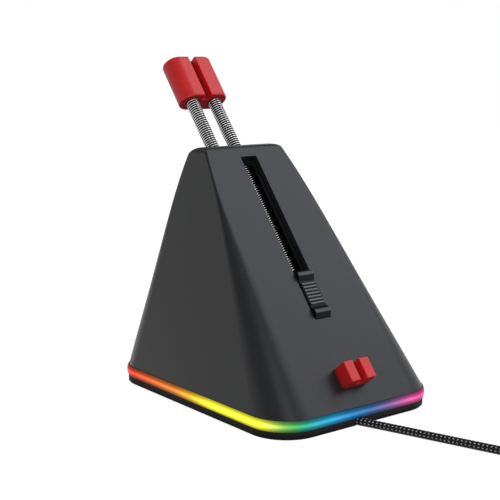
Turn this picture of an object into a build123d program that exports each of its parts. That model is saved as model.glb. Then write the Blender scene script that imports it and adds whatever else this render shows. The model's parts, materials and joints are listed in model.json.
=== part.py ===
from build123d import *
from math import atan2, cos, pi, radians, sin, tan
import os

os.makedirs("parts", exist_ok=True)

# Mouse bungee, in millimetres: +Z up, the slotted face towards -Y, the arm leaning to +Y.
# The origin is on the desk, under the middle of the box that the object fills without its cable.

# Base
base_width = 94.0
base_depth = 128.3
base_corner = 18.0
desk_gap = 0.3
plate_floor = 2.3
plate_edge = 3.3
plate_rim = 6.4
plate_chamfer = 0.3
foot_radius = 7.0
foot_thickness = 1.4
foot_from_side = 12.0
foot_from_end = 25.0

# Light ring between the base plate and the body
ring_height = 4.9
ring_bulge = 0.75
ring_depth = 3.0
led_board_width = 3.0
led_board_thickness = 1.0
led_length = 2.8
led_width = 1.4
led_height = 1.0
led_edge_gap = 0.3
led_count = 24

# Body
body_height = 114.6
foot_inset = 0.35
top_front = 85.0
top_width = 45.4
top_depth = 11.6
corner_at_top = 1.5
corner_rise = 83.0
least_corner = 1.2
taper_sections = 5
ridge_round = 4.5
back_round = 9.0
side_round = 4.0
trim_angle = 4.0
shell_wall = 2.4
hollow_top = 1.3

# Slot and sliding carriage, measured along and square to the slotted face
slot_width = 9.5
slot_start = 5.9
slot_end_gap = 0.4
travel = 62.0
button_length = 24.4
button_crest = 2.2
button_scoop = 0.6
crest_round = 0.8
crest_length = 1.6
crest_slope = 2.1
end_slope = 1.9
grip_count = 7
grip_pitch = 1.65
grip_width = 1.2
grip_top = 0.6
grip_height = 0.4
grip_side_gap = 0.3
flange_width = 19.0
flange_thickness = 2.2
neck_width = 12.0
block_length = 14.0
block_wall = 2.0
rail_width = 3.0
lip_thickness = 1.8
bridge_start = 2.0
bridge_length = 3.0
bridge_wall = 0.8
track_tail = 4.0
track_stop_gap = 1.0
leaf_thickness = 0.25
leaf_bar = 1.3
leaf_side_gap = 0.3

# Spring arm and top clip
spring_diameter = 6.1
spring_wire = 0.95
spring_groove = 0.35
spring_ring_pitch = 1.9
spring_spacing = 13.2
spring_depth = 13.3
spring_socket = 8.0
spring_exit = 8.0
spring_pin_length = 16.0
pin_seat = 4.0
arm_reach = 35.4
clip_length = 24.0
clip_width = 26.6
clip_thickness = 12.6
clip_round = 1.0
cable_slot_width = 3.8
cable_slot_depth = 4.4
slot_edge_round = 0.4

# Lower clip
lower_clip_width = 14.3
lower_clip_length = 9.6
lower_clip_height = 7.8
lower_clip_start = 117.1
lower_slot_depth = 4.9
lower_clip_round = 0.6
prong_round = 0.45
peg_radius = 1.6
peg_spacing = 9.0
peg_tail = 1.0

# Inside the base
ballast_width = 58.0
ballast_gap = 0.3
ballast_height = 7.0
ballast_corner = 6.0
ballast_from_back = 16.0
board_width = 24.0
board_depth = 16.0
board_thickness = 1.2
board_rise = 0.6
post_radius = 2.2
chip_size = 6.0
chip_height = 1.0
connector_width = 9.0
connector_length = 6.0
connector_height = 4.2
clamp_length = 17.0
clamp_width = 4.0
clamp_height = 2.6
clamp_from_front = 7.6

# Screws
boss_radius = 3.4
boss_height = 34.0
boss_from_end = 10.5
boss_from_middle = 27.0
screw_radius = 1.3
screw_head_radius = 2.4
screw_head_height = 1.2
screw_length = 12.0
small_screw_radius = 0.9
small_head_radius = 1.7
small_head_height = 1.2
track_boss_radius = 2.6
track_boss_height = 3.0
track_tab_length = 7.0
track_tab_from_middle = 16.5
track_tab_places = (18.0, 80.0)
ballast_screw_inset = 6.0

# Clearances
run_gap = 0.35
seat_gap = 0.05
fit_gap = 0.03

# Cable with its coil and plug
cable_diameter = 3.5
arc_share = 0.45
channel_gap = 0.4
tie_thickness = 0.9
tie_width = 9.0
coil_middle_radius = 21.0
coil_tracks = 5
coil_layers = 2
coil_inner_spare = 0.3
tie_angle = 30.0
exit_angle = -115.0
tail_run = 6.0
tail_dip = 0.3
plug_width = 15.6
plug_height = 8.0
plug_length = 24.0
plug_round = 1.6
plug_relief_length = 10.0
plug_relief_radius = 2.9
plug_relief_wall = 0.4
plug_shell_width = 12.0
plug_shell_height = 4.5
plug_shell_length = 18.5
plug_shell_wall = 0.35
plug_tongue_height = 1.9

# Heights of the stacked base
plate_z = desk_gap
floor_z = plate_z + plate_floor
ring_z = plate_z + plate_edge
foot_z = ring_z + ring_height

# Directions of the slotted face, up the slope and into the body
lean = atan2(top_front - foot_inset, body_height - foot_z)
up_y = sin(lean)
up_z = cos(lean)
in_y = cos(lean)
in_z = -sin(lean)

# The box without the cable runs from the light ring's front to the clip's upper back edge
clip_top = arm_reach + clip_length
clip_back = spring_depth + clip_thickness / 2
reach = top_front + (clip_top - clip_round) * up_y + (clip_back - clip_round) * in_y + clip_round
front_y = -(reach - ring_bulge) / 2
back_y = front_y + base_depth
middle_y = (front_y + back_y) / 2

# Planes at the middle of the body's front top edge
ridge = (0, front_y + top_front, body_height)
face_plane = Plane(origin=ridge, x_dir=(1, 0, 0), z_dir=(0, -in_y, -in_z))
arm_plane = Plane(origin=ridge, x_dir=(1, 0, 0), z_dir=(0, up_y, up_z))
arm_axis = Axis(ridge, (0, up_y, up_z))
into_axis = Axis(ridge, (0, in_y, in_z))

# Ends of the back face before its top is rounded, and the half widths of the sides
back_foot_y = back_y - foot_inset
back_top_y = front_y + top_front + top_depth
foot_half_width = base_width / 2 - foot_inset
top_half_width = top_width / 2

# Depths below the slotted face
flange_front = shell_wall + run_gap
flange_back = flange_front + flange_thickness
lip_front = flange_back + run_gap
lip_back = lip_front + lip_thickness
block_front = lip_back + run_gap
bridge_front = flange_back + small_head_height + run_gap
spring_radius = spring_diameter / 2
spring_x = spring_spacing / 2
bore_radius = spring_radius - spring_wire
block_back = spring_depth + spring_radius + block_wall
bridge_back = spring_depth + spring_radius + run_gap + bridge_wall
block_half = spring_x + spring_radius + block_wall
rail_inner = flange_width / 2 + run_gap
rail_outer = rail_inner + rail_width
lip_inner = neck_width / 2 + run_gap

# Places along the slotted face, measured down from the front top edge
button_start = slot_start + slot_end_gap + travel
button_end = button_start + button_length
slot_end = button_end + slot_end_gap
bridge_end = bridge_start + bridge_length
block_start = button_start + 2 * (small_head_radius + run_gap)
block_end = block_start + block_length
spring_foot = block_start + spring_socket
track_end = button_end + track_tail
spring_length = spring_foot + arm_reach + spring_socket


def finish_piece(piece, label):
    """Label one piece and write its file."""
    piece.label = label
    export_step(piece, "parts/" + label + ".step")


def plan_outline(inset, mode=Mode.ADD):
    """Draw the base's rounded outline in the current sketch, drawn in by an inset."""
    with Locations((0, middle_y)):
        RectangleRounded(base_width - 2 * inset, base_depth - 2 * inset, base_corner - inset, mode=mode)


def body_loft(inset, low, high):
    """Loft the body's tapering plan, with corners that open out towards the base."""
    with BuildPart() as form:
        for step in range(taper_sections):
            height = low + (high - low) * step / (taper_sections - 1)
            share = (height - foot_z) / (body_height - foot_z)
            front = front_y + foot_inset + share * (top_front - foot_inset) + inset / in_y
            back = back_foot_y + share * (back_top_y - back_foot_y) - inset
            half = foot_half_width + share * (top_half_width - foot_half_width) - inset
            opening = base_corner - foot_inset - corner_at_top
            opened = max(corner_rise - (height - foot_z), 0) / corner_rise
            corner = corner_at_top + opening * opened - inset
            with BuildSketch(Plane.XY.offset(height)):
                with Locations((0, (front + back) / 2)):
                    RectangleRounded(2 * half, back - front, max(corner, least_corner))
        loft()
    return form.part


# Body form: the tapering loft, trimmed to rounded top edges.
# The trimming sides lean a little off the faces that they run into, so that they cross them cleanly.
trim = radians(trim_angle)
trim_z = foot_z - ridge_round
side_lean = atan2(foot_half_width - top_half_width, body_height - foot_z)
back_lean = atan2(back_foot_y - back_top_y, body_height - foot_z)

front_run = ridge_round * tan((pi / 2 - lean) / 2)
front_trim_y = front_y + top_front - front_run * up_y
front_trim_z = body_height - front_run * up_z
front_trim_slope = tan(lean + trim)

back_run = back_round * tan((pi / 2 - back_lean) / 2)
back_trim_y = back_top_y + back_run * sin(back_lean)
back_trim_z = body_height - back_run * cos(back_lean)
back_trim_slope = tan(back_lean + trim)

side_run = side_round * tan((pi / 2 - side_lean) / 2)
side_trim_x = top_half_width + side_run * sin(side_lean)
side_trim_z = body_height - side_run * cos(side_lean)
side_trim_slope = tan(side_lean + trim)
side_low_x = side_trim_x + (side_trim_z - trim_z) * side_trim_slope
side_high_x = side_trim_x - (body_height - side_trim_z) * side_trim_slope

body_taper = body_loft(0, foot_z, body_height)
with BuildPart() as body_form:
    add(body_taper)
    with BuildSketch(Plane.YZ):
        with BuildLine():
            Polyline(
                (front_trim_y - (front_trim_z - trim_z) * front_trim_slope, trim_z),
                (front_trim_y + (body_height - front_trim_z) * front_trim_slope, body_height),
                (back_trim_y - (body_height - back_trim_z) * back_trim_slope, body_height),
                (back_trim_y + (back_trim_z - trim_z) * back_trim_slope, trim_z),
                close=True,
            )
        make_face()
        fillet(vertices().group_by(Axis.Y)[-1].sort_by(Axis.X)[-1], back_round)
        fillet(vertices().group_by(Axis.Y)[-1].sort_by(Axis.X)[0], ridge_round)
    extrude(amount=base_width, both=True, mode=Mode.INTERSECT)
    with BuildSketch(Plane.XZ):
        with BuildLine():
            Polyline(
                (-side_low_x, trim_z),
                (-side_high_x, body_height),
                (side_high_x, body_height),
                (side_low_x, trim_z),
                close=True,
            )
        make_face()
        fillet(vertices().sort_by(Axis.Y)[-2:], side_round)
    extrude(amount=base_depth, both=True, mode=Mode.INTERSECT)

# Hollow inside the body, closed under the top and square to the arm where the springs leave
hollow_form = body_loft(shell_wall, foot_z - 2 * shell_wall, body_height - shell_wall)
with BuildPart() as hollow:
    add(hollow_form)
    split(bisect_by=arm_plane.offset(hollow_top), keep=Keep.BOTTOM)

# Screw bosses of the body, trimmed to the middle of its wall
boss_places = [
    (side * boss_from_middle, y)
    for side in (-1, 1)
    for y in (front_y + boss_from_end, back_y - boss_from_end)
]
boss_limit = body_loft(shell_wall / 2, floor_z, body_height - shell_wall)
with BuildPart() as body_bosses:
    with BuildSketch(Plane.XY.offset(floor_z)):
        with Locations(*boss_places):
            Circle(boss_radius)
    extrude(amount=boss_height)
    add(boss_limit, mode=Mode.INTERSECT)

# Body shell
track_boss_places = [(side * track_tab_from_middle, -s) for side in (-1, 1) for s in track_tab_places]
lower_clip_middle = lower_clip_start + lower_clip_length / 2
peg_places = [(side * peg_spacing / 2, -lower_clip_middle) for side in (-1, 1)]
track_boss_end = shell_wall + track_boss_height
with BuildPart() as body_shell:
    add(body_form.part)
    add(hollow.part, mode=Mode.SUBTRACT)
    add(body_bosses.part)
    with BuildSketch(face_plane.offset(-track_boss_end)):
        with Locations(*track_boss_places):
            Circle(track_boss_radius)
    extrude(amount=track_boss_height + shell_wall / 2)
    with BuildSketch(Plane.XY.offset(floor_z)):
        with Locations(*boss_places):
            Circle(screw_radius + fit_gap)
    extrude(amount=screw_length, mode=Mode.SUBTRACT)
    with BuildSketch(face_plane.offset(-track_boss_end)):
        with Locations(*track_boss_places):
            Circle(small_screw_radius + fit_gap)
    extrude(amount=track_boss_height, mode=Mode.SUBTRACT)
    with BuildSketch(face_plane.offset(-2 * shell_wall)):
        with Locations((0, -(slot_start + slot_end) / 2)):
            Rectangle(slot_width, slot_end - slot_start)
        with Locations(*peg_places):
            Circle(peg_radius + seat_gap)
    extrude(amount=4 * shell_wall, mode=Mode.SUBTRACT)
    with BuildSketch(arm_plane.offset(-bridge_start)):
        with Locations((-spring_x, spring_depth), (spring_x, spring_depth)):
            Circle(spring_radius + run_gap)
    extrude(amount=bridge_start + spring_exit, mode=Mode.SUBTRACT)
finish_piece(body_shell.part, "body_shell")

# Cable route, chosen by hand: x, distance out from the base's front edge, height
lead_points = [
    (-4.4, -34.0, 6.2),
    (-4.4, -25.0, 6.2),
    (-4.4, -15.0, 1.75),
    (-4.4, -6.5, 1.75),
    (1.5, 11.0, 1.75),
    (9.3, 36.0, 1.75),
    (16.2, 60.0, 2.0),
    (21.4, 81.0, 2.65),
]
lead_route = [Vector(x, front_y - out, z) for x, out, z in lead_points]


def corner_radii(points):
    """Largest tangent arcs that the runs beside each corner allow."""
    radii = []
    for before, here, after in zip(points, points[1:], points[2:]):
        turn = radians((here - before).get_angle(after - here))
        shorter = min((here - before).length, (after - here).length)
        radii.append(arc_share * shorter / tan(turn / 2))
    return radii


def cable_tube(points):
    """Sweep the cable's round section along straight runs joined by arcs."""
    radii = corner_radii(points)
    with BuildPart() as tube:
        with BuildLine():
            route = FilletPolyline(*points, radius=radii)
        with BuildSketch(Plane(origin=route @ 0, z_dir=route % 0)):
            Circle(cable_diameter / 2)
        sweep(path=route)
    expected = pi * cable_diameter**2 / 4 * route.length
    print("cable radii", [round(r, 1) for r in radii], "length", round(route.length, 1))
    print("cable volume", round(tube.part.volume, 1), "section times length", round(expected, 1))
    return tube.part


# Base plate with its rim, recesses for the feet, screw holes and the cable's channel
foot_places = [
    (side * (base_width / 2 - foot_from_side), y)
    for side in (-1, 1)
    for y in (front_y + foot_from_end, back_y - foot_from_end)
]
foot_recess = foot_thickness - desk_gap
ballast_front_y = lead_route[0].Y + board_depth + ballast_gap
ballast_back_y = back_y - ballast_from_back
ballast_depth = ballast_back_y - ballast_front_y
ballast_y = (ballast_front_y + ballast_back_y) / 2
ballast_screw_x = ballast_width / 2 - ballast_screw_inset
ballast_screw_y = ballast_depth / 2 - ballast_screw_inset
ballast_screw_places = [
    (across * ballast_screw_x, ballast_y + along * ballast_screw_y)
    for across in (-1, 1)
    for along in (-1, 1)
]
clamp_x = lead_route[3].X
clamp_y = front_y + clamp_from_front + clamp_width / 2
clamp_screw_offset = (clamp_length + cable_diameter) / 4 + channel_gap
clamp_screw_places = [(clamp_x + side * clamp_screw_offset, clamp_y) for side in (-1, 1)]
board_y = lead_route[0].Y + board_depth / 2
board_z = floor_z + board_rise
board_x = lead_route[0].X
board_post_places = [(board_x + side * (board_width / 2 - post_radius), board_y) for side in (-1, 1)]
with BuildPart() as base_plate:
    with BuildSketch(Plane.XY.offset(plate_z)):
        plan_outline(0)
    extrude(amount=plate_edge)
    chamfer(faces().sort_by(Axis.Z)[0].edges(), plate_chamfer)
    with BuildSketch(Plane.XY.offset(floor_z)):
        plan_outline(plate_rim)
    extrude(amount=plate_edge, mode=Mode.SUBTRACT)
    with BuildSketch(Plane.XY.offset(floor_z)):
        with Locations(*board_post_places):
            Circle(post_radius)
    extrude(amount=board_rise)
    with BuildSketch(Plane.XY.offset(plate_z)):
        with Locations(*foot_places):
            Circle(foot_radius + seat_gap)
    extrude(amount=foot_recess, mode=Mode.SUBTRACT)
    with BuildSketch(Plane.XY.offset(plate_z)):
        with Locations(*boss_places):
            Circle(screw_head_radius + seat_gap)
    extrude(amount=screw_head_height, mode=Mode.SUBTRACT)
    with BuildSketch(Plane.XY.offset(plate_z)):
        with Locations(*boss_places):
            Circle(screw_radius + fit_gap)
    extrude(amount=plate_edge, mode=Mode.SUBTRACT)
    with BuildSketch(Plane.XY.offset(plate_z)):
        with Locations(*(ballast_screw_places + clamp_screw_places)):
            Circle(small_screw_radius + fit_gap)
    extrude(amount=plate_edge, mode=Mode.SUBTRACT)
    with BuildSketch(Plane.XY.offset(plate_z)):
        with BuildLine():
            Polyline(*[(p.X, p.Y) for p in lead_route[1:5]])
        trace(line_width=cable_diameter + 2 * channel_gap)
    extrude(amount=plate_edge, mode=Mode.SUBTRACT)
finish_piece(base_plate.part, "base_plate")

# Rubber feet
with BuildPart() as rubber_feet:
    with BuildSketch():
        with Locations(*foot_places):
            Circle(foot_radius)
    extrude(amount=foot_thickness)
finish_piece(rubber_feet.part, "rubber_feet")

# Screws that hold the body to the plate, heads flush with the plate's underside
with BuildPart() as base_screws:
    with BuildSketch(Plane.XY.offset(plate_z)):
        with Locations(*boss_places):
            Circle(screw_head_radius)
    extrude(amount=screw_head_height)
    with BuildSketch(Plane.XY.offset(plate_z)):
        with Locations(*boss_places):
            Circle(screw_radius)
    extrude(amount=screw_length)
finish_piece(base_screws.part, "base_screws")

# Light ring: a bead that bulges past the base and the body
with BuildSketch(Plane.XY.offset(ring_z)) as ring_outline:
    plan_outline(0)
with BuildPart() as light_ring:
    with BuildSketch(Plane(origin=(0, front_y, ring_z), x_dir=(0, -1, 0), z_dir=(-1, 0, 0))):
        with BuildLine():
            ThreePointArc((0, 0), (ring_bulge, ring_height / 2), (0, ring_height))
            Polyline((0, ring_height), (-ring_depth, ring_height), (-ring_depth, 0), (0, 0))
        make_face()
    sweep(path=ring_outline.sketch.wire())
finish_piece(light_ring.part, "light_ring")

# Ring-shaped circuit board on the plate's rim, and the light-emitting diodes along its outer edge
led_board_inset = ring_depth + seat_gap
with BuildPart() as led_board:
    with BuildSketch(Plane.XY.offset(ring_z)):
        plan_outline(led_board_inset)
        plan_outline(led_board_inset + led_board_width, mode=Mode.SUBTRACT)
    extrude(amount=led_board_thickness)
finish_piece(led_board.part, "led_board")

led_z = ring_z + led_board_thickness
with BuildSketch(Plane.XY.offset(led_z)) as led_line:
    plan_outline(led_board_inset + led_edge_gap + led_width / 2)
led_path = led_line.sketch.wire()
with BuildPart() as leds:
    for index in range(led_count):
        place = led_path.position_at((index + 0.5) / led_count)
        along = led_path.tangent_at((index + 0.5) / led_count)
        with BuildSketch(Plane(origin=place, x_dir=along, z_dir=(0, 0, 1))):
            Rectangle(led_length, led_width)
        extrude(amount=led_height)
finish_piece(leds.part, "leds")

# Steel ballast with its four screws
with BuildPart() as ballast_weight:
    with BuildSketch(Plane.XY.offset(floor_z)):
        with Locations((0, ballast_y)):
            RectangleRounded(ballast_width, ballast_depth, ballast_corner)
        with Locations(*ballast_screw_places):
            Circle(small_screw_radius + seat_gap, mode=Mode.SUBTRACT)
    extrude(amount=ballast_height)
finish_piece(ballast_weight.part, "ballast_weight")


def upright_screws(places, seat_z):
    """Small screws standing on end, heads on a seat and tips in the plate's floor."""
    with BuildPart() as screws:
        with BuildSketch(Plane.XY.offset(seat_z)):
            with Locations(*places):
                Circle(small_head_radius)
        extrude(amount=small_head_height)
        with BuildSketch(Plane.XY.offset(plate_z + seat_gap)):
            with Locations(*places):
                Circle(small_screw_radius)
        extrude(amount=seat_z - plate_z)
    return screws.part


finish_piece(upright_screws(ballast_screw_places, floor_z + ballast_height), "ballast_screws")

# Control board on its two posts, with its chip and the socket that the cable ends in
board_top = board_z + board_thickness
with BuildPart() as control_board:
    with BuildSketch(Plane.XY.offset(board_z)):
        with Locations((board_x, board_y)):
            Rectangle(board_width, board_depth)
    extrude(amount=board_thickness)
finish_piece(control_board.part, "control_board")

chip_x = board_x + (board_width - chip_size) / 2 - post_radius
chip_y = board_y + connector_length / 2
with BuildPart() as control_chip:
    with BuildSketch(Plane.XY.offset(board_top)):
        with Locations((chip_x, chip_y)):
            Rectangle(chip_size, chip_size)
    extrude(amount=chip_height)
finish_piece(control_chip.part, "control_chip")

with BuildPart() as cable_connector:
    with BuildSketch(Plane.XY.offset(board_top)):
        with Locations((board_x, lead_route[0].Y + connector_length / 2)):
            Rectangle(connector_width, connector_length)
    extrude(amount=connector_height)
finish_piece(cable_connector.part, "cable_connector")

# Clamp across the cable just inside the base, with its two screws
clamp_relief = cable_diameter - floor_z + 2 * seat_gap
with BuildPart() as cable_clamp:
    with BuildSketch(Plane.XY.offset(floor_z)):
        with Locations((clamp_x, clamp_y)):
            Rectangle(clamp_length, clamp_width)
        with Locations(*clamp_screw_places):
            Circle(small_screw_radius + seat_gap, mode=Mode.SUBTRACT)
    extrude(amount=clamp_height)
    with BuildSketch(Plane.XY.offset(floor_z)):
        with Locations((clamp_x, clamp_y)):
            Rectangle(cable_diameter + 4 * channel_gap, clamp_width)
    extrude(amount=clamp_relief, mode=Mode.SUBTRACT)
finish_piece(cable_clamp.part, "cable_clamp")
finish_piece(upright_screws(clamp_screw_places, floor_z + clamp_height), "clamp_screws")

# Slide track behind the slotted face: two lipped rails, the springs' bridge and a lower stop
track_front = shell_wall + seat_gap
with BuildPart() as slide_track:
    with BuildSketch(arm_plane.offset(-track_end)):
        for side in (-1, 1):
            with BuildLine():
                Polyline(
                    (side * rail_inner, track_front),
                    (side * rail_outer, track_front),
                    (side * rail_outer, lip_back),
                    (side * lip_inner, lip_back),
                    (side * lip_inner, lip_front),
                    (side * rail_inner, lip_front),
                    close=True,
                )
            make_face()
    extrude(amount=track_end - bridge_start)
    with BuildSketch(arm_plane.offset(-bridge_end)):
        with Locations((0, (bridge_front + bridge_back) / 2)):
            Rectangle(2 * rail_outer, bridge_back - bridge_front)
    extrude(amount=bridge_length)
    with BuildSketch(arm_plane.offset(-track_end)):
        with Locations((0, (track_front + lip_back) / 2)):
            Rectangle(2 * rail_outer, lip_back - track_front)
    extrude(amount=track_tail - track_stop_gap)
    with BuildSketch(face_plane.offset(-lip_back)):
        for x, y in track_boss_places:
            side = 1 if x > 0 else -1
            tab_outer = track_tab_from_middle + track_boss_radius
            tab_inner = rail_outer - rail_width / 2
            with Locations((side * (tab_outer + tab_inner) / 2, y)):
                Rectangle(tab_outer - tab_inner, track_tab_length)
    extrude(amount=lip_back - track_boss_end - seat_gap)
    with BuildSketch(face_plane.offset(-lip_back)):
        with Locations(*track_boss_places):
            Circle(small_screw_radius + seat_gap)
    extrude(amount=lip_back - track_boss_end, mode=Mode.SUBTRACT)
    with BuildSketch(arm_plane.offset(-bridge_end)):
        with Locations((-spring_x, spring_depth), (spring_x, spring_depth)):
            Circle(spring_radius + run_gap)
    extrude(amount=bridge_length, mode=Mode.SUBTRACT)
finish_piece(slide_track.part, "slide_track")


def face_screws(places, seat_depth, tip_depth):
    """Small screws driven from inside, square to the slotted face."""
    with BuildPart() as screws:
        with BuildSketch(face_plane.offset(-seat_depth)):
            with Locations(*places):
                Circle(small_head_radius)
        extrude(amount=-small_head_height)
        with BuildSketch(face_plane.offset(-seat_depth)):
            with Locations(*places):
                Circle(small_screw_radius)
        extrude(amount=seat_depth - tip_depth)
    return screws.part


finish_piece(face_screws(track_boss_places, lip_back, shell_wall + seat_gap), "track_screws")

# Lower cable clip on the slotted face, with two pegs through the shell
with BuildPart() as lower_clip:
    with BuildSketch(face_plane):
        with Locations((0, -lower_clip_middle)):
            Rectangle(lower_clip_width, lower_clip_length)
    extrude(amount=lower_clip_height)
    fillet(edges().filter_by(into_axis), lower_clip_round)
    with BuildSketch(face_plane.offset(lower_clip_height)):
        with Locations((0, -lower_clip_middle)):
            Rectangle(cable_slot_width, lower_clip_length)
    extrude(amount=-lower_slot_depth, mode=Mode.SUBTRACT)
    fillet(edges().group_by(into_axis)[0], prong_round)
    with BuildSketch(face_plane):
        with Locations(*peg_places):
            Circle(peg_radius)
    extrude(amount=-(shell_wall + peg_tail))
finish_piece(lower_clip.part, "lower_clip")

# Carriage: a flange in the rails, a neck between the lips and the block that holds the springs
pin_radius = bore_radius - fit_gap
spring_places = [(-spring_x, spring_depth), (spring_x, spring_depth)]
slider_screw_places = [(0, -(button_start + block_start) / 2), (0, -(block_end + button_end) / 2)]
with BuildPart() as carriage:
    with BuildSketch(arm_plane.offset(-button_end)):
        with Locations((0, (flange_front + flange_back) / 2)):
            Rectangle(flange_width, flange_thickness)
    extrude(amount=button_length)
    with BuildSketch(arm_plane.offset(-block_end)):
        with Locations((0, (flange_front + block_back) / 2)):
            Rectangle(neck_width, block_back - flange_front)
        with Locations((0, (block_front + block_back) / 2)):
            Rectangle(2 * block_half, block_back - block_front)
    extrude(amount=block_length)
    with BuildSketch(arm_plane.offset(-spring_foot)):
        with Locations(*spring_places):
            Circle(spring_radius + fit_gap)
    extrude(amount=spring_socket, mode=Mode.SUBTRACT)
    with BuildSketch(arm_plane.offset(-spring_foot - pin_seat)):
        with Locations(*spring_places):
            Circle(pin_radius + fit_gap)
    extrude(amount=pin_seat, mode=Mode.SUBTRACT)
    with BuildSketch(face_plane.offset(-flange_back)):
        with Locations(*slider_screw_places):
            Circle(small_screw_radius + seat_gap)
    extrude(amount=flange_thickness, mode=Mode.SUBTRACT)
finish_piece(carriage.part, "carriage")

with BuildPart() as spring_pins:
    with BuildSketch(arm_plane.offset(-spring_foot - pin_seat)):
        with Locations(*spring_places):
            Circle(pin_radius)
    extrude(amount=spring_pin_length)
finish_piece(spring_pins.part, "spring_pins")

# Flat leaf between the flange and the lips, which gives the slide its friction
leaf_half = flange_width / 2 - leaf_side_gap
leaf_end = block_end + leaf_bar + seat_gap
with BuildPart() as friction_leaf:
    with BuildSketch(face_plane.offset(-flange_back - leaf_thickness)):
        with Locations((0, -(block_start + leaf_end) / 2)):
            Rectangle(2 * leaf_half, leaf_end - block_start)
        with Locations((0, -(block_start + block_end + seat_gap) / 2)):
            Rectangle(neck_width + 2 * seat_gap, block_length + seat_gap, mode=Mode.SUBTRACT)
    extrude(amount=leaf_thickness)
finish_piece(friction_leaf.part, "friction_leaf")

# Slider button: it runs in the slot, with a ridged scoop between two crests
side_plane = Plane(origin=ridge, x_dir=(0, up_y, up_z), z_dir=(1, 0, 0))
button_width = slot_width - 2 * run_gap
crest_start = button_start + end_slope
crest_end = button_end - end_slope
scoop_start = crest_start + crest_length + crest_slope
scoop_end = crest_end - crest_length - crest_slope
button_middle = (button_start + button_end) / 2
with BuildPart() as slider_button:
    with BuildSketch(side_plane):
        with BuildLine():
            Polyline(
                (-button_end, -flange_front),
                (-button_end, 0),
                (-crest_end, button_crest),
                (-crest_end + crest_length, button_crest),
                (-scoop_end, button_scoop),
                (-scoop_start, button_scoop),
                (-crest_start - crest_length, button_crest),
                (-crest_start, button_crest),
                (-button_start, 0),
                (-button_start, -flange_front),
                close=True,
            )
        make_face()
        fillet(vertices().group_by(Axis.Y)[-1], crest_round)
    extrude(amount=button_width / 2, both=True)
    with BuildSketch(side_plane):
        for index in range(grip_count):
            grip_up = (index - (grip_count - 1) / 2) * grip_pitch - button_middle
            with BuildLine():
                Polyline(
                    (grip_up - grip_width / 2, button_scoop),
                    (grip_up - grip_top / 2, button_scoop + grip_height),
                    (grip_up + grip_top / 2, button_scoop + grip_height),
                    (grip_up + grip_width / 2, button_scoop),
                    close=True,
                )
            make_face()
    extrude(amount=button_width / 2 - grip_side_gap, both=True)
    with BuildSketch(face_plane.offset(-flange_front)):
        with Locations(*slider_screw_places):
            Circle(small_screw_radius + fit_gap)
    extrude(amount=flange_front, mode=Mode.SUBTRACT)
finish_piece(slider_button.part, "slider_button")
finish_piece(face_screws(slider_screw_places, flange_back, seat_gap), "slider_screws")


def spring_piece(x, label):
    """Close-wound arm spring as a tube with a ring groove for every pair of coils."""
    ring_count = round(spring_length / spring_ring_pitch)
    pitch = spring_length / ring_count
    foot = arm_plane.offset(-spring_foot).from_local_coords(Vector(x, spring_depth, 0))
    rim = [(spring_radius, 0)]
    for ring in range(ring_count):
        rim.append((spring_radius - spring_groove, (ring + 0.5) * pitch))
        rim.append((spring_radius, (ring + 1) * pitch))
    with BuildPart() as spring:
        with BuildSketch(Plane(origin=foot, x_dir=(1, 0, 0), z_dir=face_plane.z_dir)):
            with BuildLine():
                Polyline((bore_radius, 0), *rim, (bore_radius, spring_length), close=True)
            make_face()
        revolve(axis=Axis(foot, arm_plane.z_dir))
    finish_piece(spring.part, label)


spring_piece(-spring_x, "spring_left")
spring_piece(spring_x, "spring_right")

# Top cable clip: an oblong block with the mouse cable's slot and two spring sockets
clip_front = spring_depth - clip_thickness / 2
with BuildPart() as top_clip:
    with BuildSketch(arm_plane.offset(arm_reach)):
        with Locations((0, spring_depth)):
            SlotOverall(clip_width, clip_thickness)
    extrude(amount=clip_length)
    fillet(edges().group_by(arm_axis)[-1] + edges().group_by(arm_axis)[0], clip_round)
    with BuildSketch(arm_plane.offset(arm_reach)):
        with Locations((0, clip_front)):
            Rectangle(cable_slot_width, 2 * cable_slot_depth)
    extrude(amount=clip_length, mode=Mode.SUBTRACT)
    slot_lips = edges().filter_by(arm_axis).group_by(into_axis)[0]
    fillet(slot_lips.filter_by(lambda e: abs(e.center().X) < cable_slot_width), slot_edge_round)
    with BuildSketch(arm_plane.offset(arm_reach)):
        with Locations(*spring_places):
            Circle(spring_radius + run_gap)
    extrude(amount=spring_socket + run_gap, mode=Mode.SUBTRACT)
finish_piece(top_clip.part, "top_clip")

# Cable: the lead that lies on the desk, then the unseen length as a tied coil, then the plug
finish_piece(cable_tube(lead_route), "cable_lead")

track_share = (coil_tracks - 1) / 2
coil_outer_turn = coil_middle_radius + track_share * cable_diameter
coil_outer = coil_middle_radius + coil_tracks * cable_diameter / 2
coil_inner = coil_middle_radius - (coil_tracks / 2 + coil_inner_spare) * cable_diameter
coil_top = tie_thickness + coil_layers * cable_diameter
lead_end = lead_route[-1]
lead_along = (lead_end - lead_route[-2]).normalized()
coil_x = lead_end.X - lead_along.Y * coil_outer_turn
coil_y = lead_end.Y + lead_along.X * coil_outer_turn
with BuildPart() as cable_coil:
    with BuildSketch(Plane.XY.offset(tie_thickness)):
        with Locations((coil_x, coil_y)):
            Circle(coil_outer)
            Circle(coil_inner, mode=Mode.SUBTRACT)
    extrude(amount=coil_top - tie_thickness)
finish_piece(cable_coil.part, "cable_coil")

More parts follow.
